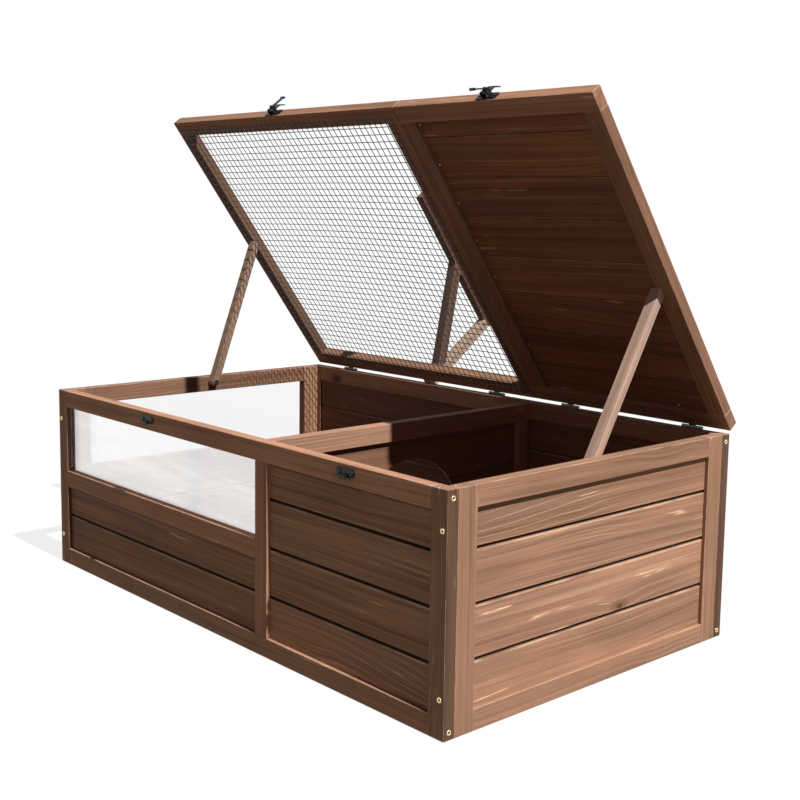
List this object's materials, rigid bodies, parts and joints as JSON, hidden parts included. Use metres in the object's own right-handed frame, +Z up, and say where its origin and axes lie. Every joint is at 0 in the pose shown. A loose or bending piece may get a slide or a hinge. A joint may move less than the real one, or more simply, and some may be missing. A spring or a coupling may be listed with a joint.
{
  "type": "rabbit hutch",
  "caption": "Low framed wooden hutch with boarded walls, clear window bays, an arched divider and propped lids, one of wire mesh and one of boards, with toggle latches.",
  "frame": {"origin": "centre of the floor, on its underside where the hutch stands", "axes": "+X along the length to the boarded compartment, +Y from the windowed front to the hinged back, +Z up"},
  "size_m": [0.9616, 0.748, 0.8006],
  "materials": {
    "stained_wood": "satin",
    "prop_wood": "satin",
    "plywood": "satin",
    "clear_pane": "gloss",
    "wire": "satin",
    "hinge_steel": "satin",
    "black_metal": "gloss",
    "brass": "satin"
  },
  "bodies": {
    "hutch": {"back_boards": "stained_wood", "back_bottom_rail": "stained_wood", "back_left_stile": "stained_wood", "back_right_stile": "stained_wood", "back_top_rail": "stained_wood", "divider_back_stile": "stained_wood", "divider_front_stile": "stained_wood", "divider_panel": "plywood", "divider_top_rail": "stained_wood", "floor_panel": "plywood", "frame_screws": "brass", "front_bottom_rail": "stained_wood", "front_left_boards": "stained_wood", "front_left_stile": "stained_wood", "front_mullion": "stained_wood", "front_right_boards": "stained_wood", "front_right_stile": "stained_wood", "front_sill_rail": "stained_wood", "front_top_rail": "stained_wood", "front_window": "clear_pane", "hinge_box_leaves": "hinge_steel", "hinge_pins": "hinge_steel", "latch_keepers": "black_metal", "left_back_stile": "stained_wood", "left_boards": "stained_wood", "left_bottom_rail": "stained_wood", "left_front_stile": "stained_wood", "left_sill_rail": "stained_wood", "left_top_rail": "stained_wood", "left_window": "clear_pane", "prop_screws": "brass", "right_back_stile": "stained_wood", "right_boards": "stained_wood", "right_bottom_rail": "stained_wood", "right_front_stile": "stained_wood", "right_top_rail": "stained_wood"},
    "left_lid": {"lamp_arm": "stained_wood", "lamp_brace": "stained_wood", "lamp_post": "stained_wood", "left_latch_base": "black_metal", "left_lid_back_rail": "stained_wood", "left_lid_front_rail": "stained_wood", "left_lid_hinge_leaves": "hinge_steel", "left_lid_left_stile": "stained_wood", "left_lid_mesh": "wire", "left_lid_right_stile": "stained_wood"},
    "right_lid": {"right_latch_base": "black_metal", "right_lid_back_rail": "stained_wood", "right_lid_boards": "stained_wood", "right_lid_front_rail": "stained_wood", "right_lid_hinge_leaves": "hinge_steel", "right_lid_left_stile": "stained_wood", "right_lid_right_stile": "stained_wood"},
    "left_prop": {"left_prop": "prop_wood"},
    "right_prop": {"right_prop": "prop_wood"},
    "left_lever": {"left_latch_lever": "black_metal"},
    "left_hook": {"left_latch_hook": "black_metal"},
    "right_lever": {"right_latch_lever": "black_metal"},
    "right_hook": {"right_latch_hook": "black_metal"}
  },
  "joints": [
    {"name": "left_lid_hinge", "type": "hinge", "parent": "hutch", "child": "left_lid", "pos_m": [-0.18425, 0.2887, 0.305], "axis": [1, 0, 0], "range_deg": [0, 53.5]},
    {"name": "right_lid_hinge", "type": "hinge", "parent": "hutch", "child": "right_lid", "pos_m": [0.29625, 0.2887, 0.305], "axis": [1, 0, 0], "range_deg": [0, 53.5]},
    {"name": "left_prop_pivot", "type": "hinge", "parent": "hutch", "child": "left_prop", "pos_m": [-0.453, 0.014, 0.294], "axis": [1, 0, 0], "range_deg": [0, 117.9]},
    {"name": "right_prop_pivot", "type": "hinge", "parent": "hutch", "child": "right_prop", "pos_m": [0.453, 0.001, 0.29], "axis": [1, 0, 0], "range_deg": [0, 152.8]},
    {"name": "left_lever_pivot", "type": "hinge", "parent": "left_lid", "child": "left_lever", "pos_m": [-0.18425, -0.04948, 0.77715], "axis": [1, 0, 0], "range_deg": [0, 25]},
    {"name": "right_lever_pivot", "type": "hinge", "parent": "right_lid", "child": "right_lever", "pos_m": [0.29625, -0.04948, 0.77715], "axis": [1, 0, 0], "range_deg": [0, 25]},
    {"name": "left_hook_pivot", "type": "hinge", "parent": "left_lever", "child": "left_hook", "pos_m": [-0.18425, -0.04894, 0.78315], "axis": [1, 0, 0], "range_deg": [0, 150]},
    {"name": "right_hook_pivot", "type": "hinge", "parent": "right_lever", "child": "right_hook", "pos_m": [0.29625, -0.04894, 0.78315], "axis": [1, 0, 0], "range_deg": [-150, 0]}
  ],
  "couplings": [
    {"joint": "left_prop_pivot", "follows": "left_lid_hinge", "ratio": 2.2037},
    {"joint": "right_prop_pivot", "follows": "right_lid_hinge", "ratio": 2.856}
  ]
}
